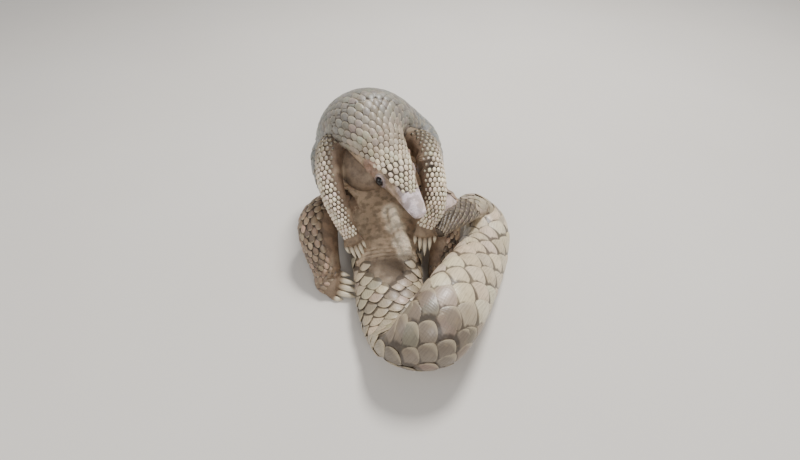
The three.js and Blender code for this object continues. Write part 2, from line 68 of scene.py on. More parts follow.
# The whole length of the animal, from the nose over the back to the tip of the tail. A station has its
# middle, the way its back faces, and its reach to the sides, back and belly, the last two often one.
SPINE = [
    head_station(0, 9.5, 9, 8),
    head_station(12, 12.5, 11.5, 10.5),
    head_station(32, 16.5, 15, 14),
    head_station(61, 25, 20, 19),
    head_station(80, 29.5, 24, 22),
    head_station(100, 34, 29, 25),
    ([-10, 19, 163], [0.1, -0.05, 1], 41, 35, 26),
    ([-17, 41, 164], [0, 0.25, 0.97], 55, 48, 30),
    ([-19, 61, 149], [0, 0.6, 0.8], 74, 56, 35),
    ([-15, 70, 122], [0, 0.94, 0.34], 93, 58, 50),
    ([-12, 67, 92], [0, 1, -0.08], 99, 60, 55),
    ([-6, 54, 64], [0, 0.85, -0.5], 95, 56, 48),
    ([-2, 27, 44], [0, 0.5, -0.86], 77, 48, 38),
    ([0, -12, 36], [0, 0.05, -1], 59, 39, 29),
    ([3, -55, 34], [0, 0, -1], 50, 36, 26),
    ([7, -100, 31], [0, 0, -1], 44, 32, 24),
    ([12, -145, 29], [0, 0, -1], 42, 30, 23),
    ([24, -184, 30], [0, -0.35, -0.93], 40, 28, 20),
    ([38, -212, 46], [0, -1, -0.1], 39, 25, 18),
    ([58, -210, 68], [0.1, -0.75, 0.65], 39, 24, 18),
    ([81, -180, 74], [0.2, -0.3, 0.93], 39, 24, 19),
    ([103, -140, 62], [0.3, -0.2, 0.93], 38, 24, 20),
    ([126, -94, 42], [0.3, -0.2, 0.93], 36, 24, 20),
    ([143, -52, 26], [0.15, -0.1, 1], 34, 24, 23),
    ([153, -16, 24], [0.05, 0, 1], 32, 22, 22),
    ([155, 10, 29], [0.45, -0.1, 0.85], 29, 20, 18),
    ([141, 18, 42], [0.6, 0.3, 0.75], 25, 18, 15),
    ([124, 0, 58], [0.3, 0, 0.95], 20, 15, 12),
    ([106, -29, 72], [0, -0.2, 1], 17, 12, 10),
    ([88, -51, 80], [-0.1, -0.2, 1], 13.5, 10.5, 8.5),
    ([73, -70, 79], [-0.2, -0.3, 0.9], 8.5, 7, 6),
]

# Legs, each from inside the trunk to the wrist or ankle
LEGS = {
    "foreleg_right": [
        ([-50, 50, 142], [-0.75, 0.2, 0.6], 26, 22),
        ([-68, 20, 144], [-0.8, -0.1, 0.5], 22, 20),
        ([-70, -8, 130], [-0.8, -0.5, 0.3], 18.5, 17),
        ([-63, -34, 112], [-0.7, -0.6, 0.4], 17, 15),
        ([-54, -50, 95], [-0.6, -0.6, 0.5], 15, 13),
        ([-47, -61, 82], [-0.6, -0.6, 0.5], 13, 11),
    ],
    "foreleg_left": [
        ([32, 56, 136], [0.75, 0.2, 0.6], 24, 20),
        ([56, 27, 146], [0.8, -0.1, 0.5], 21, 18),
        ([62, -4, 138], [0.8, -0.5, 0.3], 19, 17),
        ([67, -32, 121], [0.7, -0.6, 0.4], 17, 15),
        ([66, -48, 103], [0.5, -0.7, 0.5], 15, 14),
        ([60, -57, 90], [0.4, -0.8, 0.4], 13, 12),
    ],
    "hindleg_right": [
        ([-50, 32, 46], [-0.4, 0.2, 0.9], 34, 29),
        ([-76, 0, 53], [-0.6, 0, 0.8], 31, 28),
        ([-91, -31, 56], [-0.8, -0.2, 0.6], 29, 28),
        ([-86, -62, 42], [-0.8, -0.3, 0.5], 25, 24),
        ([-76, -89, 22], [-0.7, -0.5, 0.6], 20, 18),
    ],
    "hindleg_left": [
        ([44, 36, 44], [-0.1, 0.3, 0.95], 32, 27),
        ([70, 16, 58], [0.2, 0.4, 0.9], 26, 24),
        ([84, -5, 64], [0.7, 0.1, 0.7], 24, 24),
        ([86, -42, 44], [0.8, -0.3, 0.5], 21, 20),
        ([79, -82, 22], [0.6, -0.5, 0.6], 18, 17),
    ],
}

# Feet: the leg, the middle, the way the toes point, the way across them, the foot's half sizes, the
# longest claw's length, the toes' radius, and the share of it all that each toe has
FORE_CLAW = 27
HIND_CLAW = 30
FEET = {
    "forefoot_right": dict(
        leg="foreleg_right", at=[-42, -68, 72], ahead=[0.36, -0.53, -0.77], across=[-0.9, -0.2, -0.35],
        half=[13, 12, 9], claw=FORE_CLAW, radius=2.9, shares=[0.45, 0.8, 1, 0.75, 0.4]),
    "forefoot_left": dict(
        leg="foreleg_left", at=[56, -63, 81], ahead=[0, -0.5, -0.85], across=[1, 0, -0.1],
        half=[12, 13, 9], claw=FORE_CLAW, radius=2.9, shares=[0.45, 0.75, 1, 0.75, 0.4]),
    "hindfoot_right": dict(
        leg="hindleg_right", at=[-74, -103, 14], ahead=[0.95, -0.3, -0.02], across=[-0.1, -0.8, -0.6],
        half=[14, 17, 12], claw=HIND_CLAW, radius=4.2, shares=[0.4, 0.8, 1, 0.9, 0.4]),
    "hindfoot_left": dict(
        leg="hindleg_left", at=[76, -104, 11], ahead=[-0.2, -0.97, -0.05], across=[0.97, -0.2, 0],
        half=[15, 15, 11], claw=HIND_CLAW, radius=4.2, shares=[0.4, 0.7, 0.8, 0.7, 0.4]),
}


def unit(vectors):
    return vectors / np.maximum(np.linalg.norm(vectors, axis=-1, keepdims=True), TINY)


def distance(points, place):
    return np.linalg.norm(points - place, axis=1)


def ramp(x, low, high):
    """Smooth step from 0 to 1 as x goes from low to high."""
    t = np.clip((x - low) / (high - low), 0, 1)
    return t * t * (3 - 2 * t)


def from_back(angle):
    """How far an angle lies from the middle of the back, either way round."""
    return np.abs(np.arctan2(np.sin(angle), np.cos(angle)))


class Path:
    """A smooth line through stations, read by its length in metres. Angle 0 is the back."""

    PER_STRETCH = 200
    SAMPLE = 1.5 * MM
    SMOOTHING = 5
    SQUEEZE_FROM = 0.5
    SQUEEZE_ROOM = 0.32

    def __init__(self, stations):
        rows = [[*at, *dorsal, wide, high, *(low or [high])] for at, dorsal, wide, high, *low in stations]
        table = np.array(rows, float)
        table[:, :3] *= MM
        table[:, 6:] *= MM
        before = 2 * table[0, :3] - table[1, :3]
        beyond = 2 * table[-1, :3] - table[-2, :3]
        at = np.vstack([before, table[:, :3], beyond])
        dense = [self.segment(at[i : i + 4], self.PER_STRETCH) for i in range(len(table) - 1)]
        points = np.vstack([*dense, table[-1:, :3]])
        lengths = np.concatenate([[0], np.cumsum(np.linalg.norm(np.diff(points, axis=0), axis=1))])
        self.length = lengths[-1]
        self.marks = lengths[:: self.PER_STRETCH]
        self.last = math.ceil(self.length / self.SAMPLE)
        s = np.linspace(0, self.length, self.last + 1)
        x = np.interp(s, lengths, np.arange(len(points)) / self.PER_STRETCH)
        self.middles = np.stack([np.interp(s, lengths, points[:, k]) for k in range(3)], axis=1)
        self.ways = unit(self.rise(self.middles))
        self.bends = self.rise(self.ways) / (2 * self.SMOOTHING * self.SAMPLE)
        blended = np.stack([self.blend(table[:, k], x) for k in range(3, 9)], axis=1)
        dorsals = blended[:, :3] - self.ways * np.sum(blended[:, :3] * self.ways, axis=1, keepdims=True)
        self.dorsals = unit(dorsals)
        self.sizes = blended[:, 3:]

    @staticmethod
    def segment(p, count):
        """Points of the centripetal curve from p[1] to p[2]."""
        d = np.sqrt(np.linalg.norm(np.diff(p, axis=0), axis=1))
        t1 = ((p[1] - p[0]) / d[0] - (p[2] - p[0]) / (d[0] + d[1]) + (p[2] - p[1]) / d[1]) * d[1]
        t2 = ((p[2] - p[1]) / d[1] - (p[3] - p[1]) / (d[1] + d[2]) + (p[3] - p[2]) / d[2]) * d[1]
        t = np.linspace(0, 1, count, endpoint=False)[:, None]
        return (
            p[1] + t1 * t + (-3 * p[1] + 3 * p[2] - 2 * t1 - t2) * t**2
            + (2 * p[1] - 2 * p[2] + t1 + t2) * t**3
        )

    def rise(self, values):
        ahead = np.minimum(np.arange(len(values)) + self.SMOOTHING, len(values) - 1)
        behind = np.maximum(np.arange(len(values)) - self.SMOOTHING, 0)
        return values[ahead] - values[behind]

    @staticmethod
    def blend(values, x):
        i = np.minimum(np.floor(x).astype(int), len(values) - 2)
        f = x - i
        a, b, c, d = (values[np.clip(i + k, 0, len(values) - 1)] for k in (-1, 0, 1, 2))
        return b + 0.5 * f * (c - a + f * (2 * a - 5 * b + 4 * c - d + f * (3 * (b - c) + d - a)))

    def frame(self, s):
        """Middle, way, back, side, bend and sizes at lengths s."""
        x = np.clip(s / self.length * self.last, 0, self.last)
        i = np.minimum(np.floor(x).astype(int), self.last - 1)
        f = (x - i)[..., None]

        def mix(values):
            return values[i] * (1 - f) + values[i + 1] * f

        way = unit(mix(self.ways))
        dorsal = mix(self.dorsals)
        dorsal = unit(dorsal - way * np.sum(dorsal * way, axis=-1, keepdims=True))
        outside = (np.maximum(0, s - self.length) + np.minimum(0, s))[..., None]
        middle = mix(self.middles) + way * outside
        return middle, way, dorsal, np.cross(dorsal, way), mix(self.bends), mix(self.sizes)

    def reach(self, frame_at, angle, raised=0.0):
        _, _, dorsal, side, _, sizes = frame_at
        c, w = np.cos(angle), np.sin(angle)
        upright = np.where(c > 0, sizes[..., 1], sizes[..., 2]) + raised
        return side * ((sizes[..., 0] + raised) * w)[..., None] + dorsal * (upright * c)[..., None]

    def surface(self, s, angle, raised=0.0, share=1.0):
        """Points of the skin, or raised off it. Flesh squeezes on the inside of a bend."""
        s, angle, raised, share = np.broadcast_arrays(s, angle, raised, share)
        at = self.frame(s)
        reach = self.reach(at, angle, raised) * share[..., None]
        inward = np.sum(reach * at[4], axis=-1)
        room = 1 - np.exp(np.minimum(0, self.SQUEEZE_FROM - inward) / self.SQUEEZE_ROOM)
        squeezed = self.SQUEEZE_FROM + self.SQUEEZE_ROOM * room
        factor = np.where(inward > self.SQUEEZE_FROM, squeezed / np.maximum(inward, TINY), 1)
        return at[0] + reach * factor[..., None]

    def inward(self, s, angle):
        """How far a place lies inside a bend: 1 is where the skin would crease to nothing."""
        s, angle = np.broadcast_arrays(s, angle)
        at = self.frame(s)
        return np.sum(self.reach(at, angle) * at[4], axis=-1)

    def spread(self, s, angle):
        """Metres of skin per radian round the body."""
        s, angle = np.broadcast_arrays(s, angle)
        sizes = self.frame(s)[5]
        upright = np.where(np.cos(angle) > 0, sizes[..., 1], sizes[..., 2])
        return np.hypot(sizes[..., 0] * np.cos(angle), upright * np.sin(angle))


spine = Path(SPINE)
legs = {name: Path(stations) for name, stations in LEGS.items()}

# Shares of a foot's half length: its pad's start behind the middle, its end ahead, and the toes' roots
PAD_BACK = 0.2
PAD_FRONT = 0.75
TOE_ROOT = 0.2


def foot_frame(foot):
    at = np.array(foot["at"], float)
    ahead = unit(np.array(foot["ahead"], float))
    across = np.array(foot["across"], float)
    across = unit(across - ahead * across.dot(ahead))
    top = np.cross(across, ahead)
    return at, ahead, across, top if top[2] >= 0 else -top


def pad_path(foot):
    """The line of a foot, from the wrist or ankle to the roots of the toes."""
    at, ahead, _, top = foot_frame(foot)
    long, wide, thick = foot["half"]
    joint, _, leg_wide, leg_high = LEGS[foot["leg"]][-1]
    return Path([
        (joint, top, leg_wide * 0.98, leg_high * 0.98),
        (at - ahead * long * PAD_BACK, top, wide, thick),
        (at + ahead * long * PAD_FRONT, top, wide * 0.85, thick * 0.75),
    ])


pads = {name: pad_path(foot) for name, foot in FEET.items()}


def toes_of(foot):
    """Root, end, radius and share of each toe."""
    at, ahead, across, top = foot_frame(foot)
    long, wide, _ = foot["half"]
    for i, share in enumerate(foot["shares"]):
        sideways = (i - 2) / 2 * wide
        root = at + ahead * long * TOE_ROOT + across * sideways * 0.7
        end = at + ahead * long * (PAD_FRONT + 0.35 * share) + across * sideways - top
        yield root, end, foot["radius"] * (0.8 + 0.35 * share), share


# Where scales grow, told as how far round from the back they reach. The forehead's band widens to the
# neck: millimetres from the nose, and its edge there.
FOREHEAD = ([23, 26, 31, 46, 60, 74, 92, 112, 128], [-0.2, 0.1, 0.64, 0.88, 0.88, 1.02, 1.2, 1.5, 1.95])
HEAD_ENDS = 124 * MM
TRUNK_EDGE = 1.8

# The tail's root, which a bare strip runs over from the belly
ROOT_SCALED = spine.marks[15]
ROOT_FADE = 14 * MM
BARE_STRIP = 38 * MM
STRIP_EDGES = (2.45, 2.85)


def head_cover(angle, s):
    edge = np.interp(s / MM, *FOREHEAD)
    return ramp(from_back(angle), edge + 0.08, edge - 0.04)


def band(edge, fade=0.3):
    """A cover that reaches as far round from the back as the edge."""
    def cover(angle, s):
        return 1 - ramp(from_back(angle), edge, edge + fade)
    return cover


trunk_cover = band(TRUNK_EDGE)


def spine_cover(angle, s):
    """The tail is scaled all round, but for a strip that runs on from the belly over its root."""
    body = np.where(s < HEAD_ENDS, head_cover(angle, s), trunk_cover(angle, s))
    begins = ROOT_SCALED + BARE_STRIP * ramp(from_back(angle), *STRIP_EDGES)
    return np.maximum(body, ramp(s, begins - ROOT_FADE, begins))


LEG_COVERS = {
    "foreleg_right": band(0.75, 0.8),
    "foreleg_left": band(0.9, 0.8),
    "hindleg_right": band(1.05),
    "hindleg_left": band(0.6),
}


# The least height over the floor of the skin, and of a scale's inner and outer face
SKIN_LEAST = 0.8 * MM
INNER_LEAST = 0.45 * MM
OUTER_LEAST = 0.05 * MM


def on_floor(points, least):
    """Nothing reaches below the floor."""
    points[..., 2] = np.maximum(points[..., 2], least)
    return points


# Meshes


def new_object(name, points, faces, material):
    mesh = bpy.data.meshes.new(name)
    mesh.from_pydata(points.tolist(), [], faces)
    mesh.materials.append(material)
    mesh.shade_smooth()
    obj = bpy.data.objects.new(name, mesh)
    scene.collection.objects.link(obj)
    return obj


# The turns at which a rounded end has its rings
DOME_TURNS = np.radians([15, 35, 55, 75])


def tube(path, start, end, inset, domes, around=48, step=2 * MM):
    """A closed tube along a path, its ends rounded over domes: points and faces."""
    angles = np.linspace(0, 2 * np.pi, around, endpoint=False)
    count = max(2, int((end - start) / step))
    rings = [(s, 1.0) for s in np.linspace(start, end, count)]
    if domes[0]:
        rings = [(start - domes[0] * math.cos(t), math.sin(t)) for t in DOME_TURNS] + rings
    if domes[1]:
        rings = rings + [(end + domes[1] * math.cos(t), math.sin(t)) for t in DOME_TURNS[::-1]]
    s, share = np.array(rings).T
    rings_at = path.surface(s[:, None], angles[None, :], -inset, share[:, None])
    points = on_floor(rings_at, SKIN_LEAST).reshape(-1, 3)
    points = np.vstack([points, points[:around].mean(axis=0), points[-around:].mean(axis=0)])
    faces = []
    for i in range(len(rings) - 1):
        for k in range(around):
            a, b = i * around + k, i * around + (k + 1) % around
            faces.append((a, b, b + around, a + around))
    last = (len(rings) - 1) * around
    for k in range(around):
        faces.append(((k + 1) % around, k, len(points) - 2))
        faces.append((last + k, last + (k + 1) % around, len(points) - 1))
    return points, faces


def joined(pieces):
    """One list of points and faces out of several."""
    points, faces = [], []
    for piece_points, piece_faces in pieces:
        start = sum(len(p) for p in points)
        points.append(piece_points)
        faces += [tuple(start + v for v in face) for face in piece_faces]
    return np.vstack(points), faces


def set_tint(mesh, colours, clear=1.0):
    """Colours per vertex, and how clear of the row before it each spot of a scale lies, which sets the
    horn's painted shade.
    """
    attribute = mesh.attributes.new("Tint", "FLOAT_COLOR", "POINT")
    rgba = np.ones((len(mesh.vertices), 4), np.float32)
    rgba[:, :3] = colours
    rgba[:, 3] = clear
    attribute.data.foreach_set("color", rgba.ravel())


def set_uv(mesh, name, values):
    """An unwrap of the mesh, from a place for each corner of its faces."""
    mesh.uv_layers.new(name=name).data.foreach_set("uv", values.astype(np.float32).ravel())


def loops_of(mesh):
    loops = np.empty(len(mesh.loops), np.int32)
    mesh.loops.foreach_get("vertex_index", loops)
    return loops


# Materials, and the colours they mix in
WORN_RIM = (0.72, 0.6, 0.4, 1)
# Painted shade, laid on each scale where the row before overlaps it
OVERLAP_SHADE = (0.045, 0.032, 0.022, 1)
STRIA = (0.09, 0.07, 0.05, 1)
HORN_BLOTCH = (0.33, 0.25, 0.15, 1)
SKIN_MOTTLE = (0.11, 0.075, 0.05, 1)
SKIN_BLOTCH = (0.62, 0.48, 0.33, 1)
SKIN_CREASE = (0.06, 0.04, 0.03, 1)
CLAW_ROOT = (0.3, 0.22, 0.14, 1)
CLAW_IVORY = (0.76, 0.67, 0.5, 1)
CLAW_STREAK = (0.42, 0.3, 0.18, 1)
EYE_BLACK = (0.004, 0.003, 0.003, 1)
EYE_HAZE = (0.014, 0.009, 0.008, 1)
FLOOR_DARK = (0.72, 0.68, 0.63, 1)
FLOOR_LIGHT = (0.78, 0.75, 0.7, 1)


class Nodes:
    """A short way to add shader nodes and link them."""

    # The sockets of a mix node that carry colours
    SHARE, FIRST, SECOND, RESULT = 0, 6, 7, 2

    def __init__(self, name, roughness, specular=0.5, coat=0.0):
        self.material = bpy.data.materials.new(name)
        self.material.use_nodes = True
        self.tree = self.material.node_tree
        self.shader = self.tree.nodes["Principled BSDF"]
        self.link("Roughness", roughness)
        self.link("Specular IOR Level", specular)
        self.link("Coat Weight", coat)

    def add(self, kind, *links, **values):
        node = self.tree.nodes.new("ShaderNode" + kind)
        inputs = {key: value for key, value in values.items() if key[0].isupper()}
        for key, value in values.items():
            if key not in inputs:
                setattr(node, key, value)
        for key, value in inputs.items():
            self.put(node.inputs[key.replace("_", " ")], value)
        for index, value in enumerate(links):
            self.put(node.inputs[index], value)
        return node

    def put(self, socket, value):
        if isinstance(value, bpy.types.NodeSocket):
            self.tree.links.new(value, socket)
        elif value is not None:
            socket.default_value = value

    def math(self, operation, *values):
        return self.add("Math", *values, operation=operation).outputs[0]

    def step(self, value, low, high):
        return self.add("MapRange", value, low, high, 0.0, 1.0,
                        interpolation_type="SMOOTHSTEP").outputs[0]

    def mix(self, share, first, second):
        node = self.add("Mix", data_type="RGBA")
        self.put(node.inputs[self.SHARE], share)
        self.put(node.inputs[self.FIRST], first)
        self.put(node.inputs[self.SECOND], second)
        return node.outputs[self.RESULT]

    def stained(self, base, mask, colour, strength):
        """The base with some of a colour mixed in where the mask is set."""
        return self.mix(mask, base, self.mix(strength, base, colour))

    def tint(self, output="Color"):
        return self.add("Attribute", attribute_name="Tint").outputs[output]

    def place(self):
        return self.add("TexCoord").outputs["Object"]

    def noise(self, vector, scale, detail=3.0):
        return self.add("TexNoise", Vector=vector, Scale=scale, Detail=detail).outputs[0]

    def bump(self, height, strength, distance, normal=None):
        return self.add("Bump", Height=height, Strength=strength, Distance=distance,
                        Normal=normal).outputs[0]

    def link(self, name, value):
        self.put(self.shader.inputs[name], value)


def scale_material():
    """Horn: striae along each scale, growth lines across it, a pale worn rim, and painted shade where the
    row before overlaps it.
    """
    n = Nodes("scale_horn", roughness=0.36, coat=0.12)
    n.link("Coat Roughness", 0.25)
    uv = n.add("UVMap", uv_map="Scale").outputs[0]
    parts = n.add("SeparateXYZ", uv)
    across, along = parts.outputs[0], parts.outputs[1]
    stretched = n.add("Mapping", Vector=uv, Scale=(26, 2.2, 1)).outputs[0]
    place = n.place()
    striae = n.noise(stretched, 1.0, 4.0)
    growth = n.add("TexWave", Vector=uv, Scale=3.2, Distortion=1.2, Detail=1.0,
                   bands_direction="Y").outputs[1]
    mottle = n.noise(place, 90.0)
    fine = n.noise(place, 900.0, 2.0)
    edge = n.math("ABSOLUTE", n.math("SUBTRACT", across, 0.5))
    rim_side = n.step(edge, 0.36, 0.5)
    rim_tip = n.step(along, 0.8, 0.97)
    rim = n.math("MAXIMUM", n.math("MULTIPLY", rim_side, n.step(along, 0.35, 0.8)), rim_tip)
    # Painted shade: the horn darkens where the row before overlaps it and just past that row's edge
    clear = n.tint("Alpha")
    root = n.step(clear, 0.11, 0.02)
    base = n.tint()
    base = n.mix(n.math("MULTIPLY", rim, 0.45), base, WORN_RIM)
    base = n.mix(n.math("MULTIPLY", root, 0.85), base, OVERLAP_SHADE)
    base = n.stained(base, n.step(striae, 0.62, 0.38), STRIA, 0.28)
    base = n.stained(base, n.step(mottle, 0.5, 0.7), HORN_BLOTCH, 0.3)
    n.link("Base Color", base)
    n.link("Roughness", n.add("MapRange", striae, 0.3, 0.7, 0.5, 0.3).outputs[0])
    normal = n.bump(striae, 0.32, 0.0005)
    normal = n.bump(growth, 0.18, 0.0004, normal)
    n.link("Normal", n.bump(fine, 0.12, 0.0002, normal))
    return n.material


def skin_material():
    """Bare hide, mottled and finely creased."""
    n = Nodes("bare_skin", roughness=0.55, specular=0.4)
    place = n.place()
    base = n.tint()
    mottle = n.noise(place, 110.0, 5.0)
    blotch = n.noise(place, 38.0, 2.0)
    creases = n.add("TexVoronoi", Vector=place, Scale=420.0, feature="DISTANCE_TO_EDGE").outputs[0]
    folds = n.noise(n.add("Mapping", Vector=place, Scale=(60, 140, 260)).outputs[0], 1.0, 4.0)
    base = n.stained(base, n.step(mottle, 0.42, 0.62), SKIN_MOTTLE, 0.5)
    base = n.stained(base, n.step(blotch, 0.5, 0.7), SKIN_BLOTCH, 0.35)
    base = n.stained(base, n.step(creases, 0.05, 0.0), SKIN_CREASE, 0.4)
    n.link("Base Color", base)
    normal = n.bump(folds, 0.35, 0.0012)
    normal = n.bump(n.step(creases, 0.0, 0.12), 0.35, 0.0006, normal)
    n.link("Normal", normal)
    n.link("Subsurface Weight", 0.08)
    n.link("Subsurface Radius", (0.004, 0.002, 0.001))
    return n.material


def claw_material():
    """Horn of the claws: ivory, browner to the root, streaked along."""
    n = Nodes("claw_horn", roughness=0.34)
    uv = n.add("UVMap", uv_map="Scale").outputs[0]
    along = n.add("SeparateXYZ", uv).outputs[1]
    streaks = n.noise(n.add("Mapping", Vector=uv, Scale=(14, 1.5, 1)).outputs[0], 1.0, 3.0)
    base = n.mix(n.step(along, 0.0, 0.45), CLAW_ROOT, CLAW_IVORY)
    base = n.stained(base, n.step(streaks, 0.5, 0.7), CLAW_STREAK, 0.4)
    n.link("Base Color", base)
    n.link("Normal", n.bump(streaks, 0.25, 0.0004))
    return n.material


def eye_material():
    n = Nodes("eye", roughness=0.05, specular=0.4, coat=0.3)
    n.link("Coat Roughness", 0.02)
    haze = n.noise(n.place(), 260.0)
    n.link("Base Color", n.mix(haze, EYE_BLACK, EYE_HAZE))
    return n.material


SCALE = scale_material()
SKIN = skin_material()
CLAW = claw_material()
EYE = eye_material()

# Colours, in linear light
UNDER_SCALES = [0.032, 0.023, 0.015]
SNOUT = [0.95, 0.81, 0.83]
CHEEK = [0.36, 0.25, 0.16]
CHEEK_STRIP = [0.6, 0.44, 0.33]
EYE_LIDS = [0.5, 0.41, 0.44]
EAR = [0.42, 0.27, 0.2]
THROAT_BROWN = [0.26, 0.185, 0.125]
BELLY = [0.62, 0.46, 0.31]
FOLD = [0.95, 0.8, 0.6]
FOOT = [0.27, 0.19, 0.125]
ROOT_SKIN = [0.1, 0.07, 0.045]
FOREARM = [0.2, 0.135, 0.09]
INNER_LEG = [0.3, 0.2, 0.13]
KNEE = [0.72, 0.58, 0.55]

# The skin

SKIN_INSET = 0.5 * MM
VOXEL = 1.5 * MM
EYE_RADIUS = 7.2 * MM
EYE_AT = {sign: head_point(62, sign * 22, -1) * MM for sign in (1, -1)}
EYE_OUT = {sign: unit(HEAD_RIGHT * sign * 0.9 + HEAD_TOP * 0.36 - HEAD_AXIS * 0.24) for sign in (1, -1)}
EAR_AT = {sign: head_point(81, sign * 27, 2) * MM for sign in (1, -1)}

THROAT = [
    ([-30, 55, 118], [0, 0, 1], 36, 34),
    ([-32, 20, 122], [0, 0, 1], 33, 30),
    ([-22, -8, 124], [0, 0, 1], 24, 22),
    ([-6, -19, 127], [0, 0, 1], 15, 14),
]

# The left knee's bare patch
KNEE_AT = np.array([90, -22, 78]) * MM
KNEE_RADIUS = 19 * MM

BELLY_FOLD = [
    ([12, -16, 66], [0, -0.2, 1], 8, 7),
    ([18, -40, 62], [0, -0.2, 1], 9, 9),
    ([27, -66, 57], [0, -0.3, 1], 10, 10),
    ([33, -86, 52], [0, -0.5, 1], 8, 8),
]


def ear_rim(sign):
    """The crescent of skin behind the ear's opening."""
    middle = head_point(81, sign * 26, 2)
    stations = []
    for turn in np.radians(np.linspace(-110, 110, 7)):
        out = HEAD_AXIS * 5.5 * math.cos(turn) + HEAD_TOP * 9 * math.sin(turn)
        thick = 1.6 + 1.3 * math.cos(turn / 1.3)
        lean = HEAD_RIGHT * sign * (1.4 + 1.6 * math.cos(turn))
        stations.append((middle + out + lean, HEAD_RIGHT * sign, thick, thick))
    return Path(stations)


def skin_tubes():
    """Every fleshy form as a closed tube, before they become one skin."""
    yield tube(spine, 2 * MM, spine.length, SKIN_INSET, domes=(5 * MM, 4 * MM), around=96)
    for name, path in legs.items():
        yield tube(path, 0, path.length, SKIN_INSET, domes=(0, 6 * MM))
    for name, foot in FEET.items():
        pad = pads[name]
        _, _, _, top = foot_frame(foot)
        yield tube(pad, 0, pad.length, SKIN_INSET, domes=(0, 4 * MM))
        for root, end, radius, _ in toes_of(foot):
            toe = Path([(root, top, radius * 1.3, radius * 1.2), (end, top, radius * 1.15, radius * 1.05)])
            yield tube(toe, 0, toe.length, 0.2 * MM, domes=(2 * MM, 2 * MM), around=16, step=1.5 * MM)
    for stations in (BELLY_FOLD, THROAT):
        form = Path(stations)
        yield tube(form, 0, form.length, SKIN_INSET, domes=(7 * MM, 7 * MM), around=36)
    for sign in (1, -1):
        rim = ear_rim(sign)
        yield tube(rim, 0, rim.length, 0, domes=(1.5 * MM, 1.5 * MM), around=12, step=1 * MM)


def applied(obj):
    """Makes the object's modifiers real."""
    graph = bpy.context.evaluated_depsgraph_get()
    mesh = bpy.data.meshes.new_from_object(obj.evaluated_get(graph))
    obj.modifiers.clear()
    obj.data = mesh


def remeshed_skin():
    points, faces = joined(list(skin_tubes()))
    skin = new_object("skin", points, faces, SKIN)
    remesh = skin.modifiers.new("remesh", "REMESH")
    remesh.mode = "VOXEL"
    remesh.voxel_size = VOXEL
    smooth = skin.modifiers.new("smooth", "SMOOTH")
    smooth.factor = 0.5
    smooth.iterations = 4
    applied(skin)
    return skin


def points_of(mesh, what="co"):
    flat = np.empty(len(mesh.vertices) * 3, np.float32)
    mesh.vertices.foreach_get(what, flat)
    return flat.reshape(-1, 3).astype(float)


def move_points(mesh, points):
    mesh.vertices.foreach_set("co", points.astype(np.float32).ravel())


# The part of the skin that is made finer: back from the nose, to the sides, and above this height
HEAD_REACH = 96 * MM
HEAD_SIDES = 42 * MM
HEAD_LOWEST = 95 * MM


def refine_head(skin):
    """Halves the head's faces, so that lids, nostrils and mouth come out fine."""
    mesh = bmesh.new()
    mesh.from_mesh(skin.data)
    nose = Vector(NOSE * MM)
    axis = Vector(HEAD_AXIS)

    def on_head(vertex):
        away = vertex.co - nose
        near = away.dot(axis) < HEAD_REACH and away.cross(axis).length < HEAD_SIDES
        return near and vertex.co.z > HEAD_LOWEST

    edges = [e for e in mesh.edges if all(on_head(v) for v in e.verts)]
    bmesh.ops.subdivide_edges(mesh, edges=edges, cuts=1, use_grid_fill=True)
    mesh.to_mesh(skin.data)
    mesh.free()


# Relief of the skin: the belly's folds, and in millimetres the lids, wrinkles, nostrils, mouth and ears
FOLDS_AT = ROOT_SCALED - 16 * MM
FOLDS_SPREAD = 11 * MM
FOLDS_PITCH = 6.5 * MM
FOLDS_HEIGHT = 0.9
LID_RADIUS = 7.4
LID_WIDTH = 1.4
SOCKET_RADIUS = 5.6
SOCKET_DEPTH = 1.8
WRINKLES_RADIUS = 11.5
WRINKLES_SPREAD = 4.5
WRINKLES_PITCH = 3.0
WRINKLES_HEIGHT = 0.6
NOSTRIL_WIDTH = 1.5
NOSTRIL_DEPTH = 1.8
MOUTH_STEPS = 60
MOUTH_WIDTH = 1.0
MOUTH_DEPTH = 1.0
LIP_AT = 2.4
LIP_WIDTH = 1.2
LIP_HEIGHT = 0.5
EAR_DEPTH = 3.0


def ridge(x, middle, width):
    """A smooth bump of height 1 where x is near the middle."""
    return np.exp(-(((x - middle) / width) ** 2))


def belly_folds(form, s, angle):
    """Folds across the belly's end, in front of the tail's root."""
    off = s - FOLDS_AT
    wave = np.cos(2 * np.pi * off / FOLDS_PITCH) * ridge(off, 0, FOLDS_SPREAD)
    return (form == SPINE_FORM) * wave * ramp(from_back(angle), 1.7, 2.3)


def lids(points, sign):
    """A ring of lids round the eye's socket, and wrinkles over it."""
    out = EYE_OUT[sign]
    away = points - EYE_AT[sign]
    flat = away - out * (away @ out)[:, None]
    beside = np.linalg.norm(flat, axis=1)
    r = beside / MM
    up = (flat @ HEAD_TOP) / np.maximum(beside, TINY)
    on_side = (away @ out > -12 * MM) & (distance(points, EYE_AT[sign]) < 30 * MM)
    ring = ridge(r, LID_RADIUS, LID_WIDTH) * (1.7 + 0.6 * up)
    socket = -SOCKET_DEPTH * np.exp(-((r / SOCKET_RADIUS) ** 4))
    wave = WRINKLES_HEIGHT * np.cos((r - LID_RADIUS) * 2 * np.pi / WRINKLES_PITCH)
    wrinkles = wave * ridge(r, WRINKLES_RADIUS, WRINKLES_SPREAD) * ramp(up, -0.3, 0.5)
    return on_side * (ring + socket + wrinkles)


def nostril(points, sign):
    away = distance(points, head_point(-1.6, sign * 3.7, 1.8) * MM) / MM
    return -NOSTRIL_DEPTH * ridge(away, 0, NOSTRIL_WIDTH)


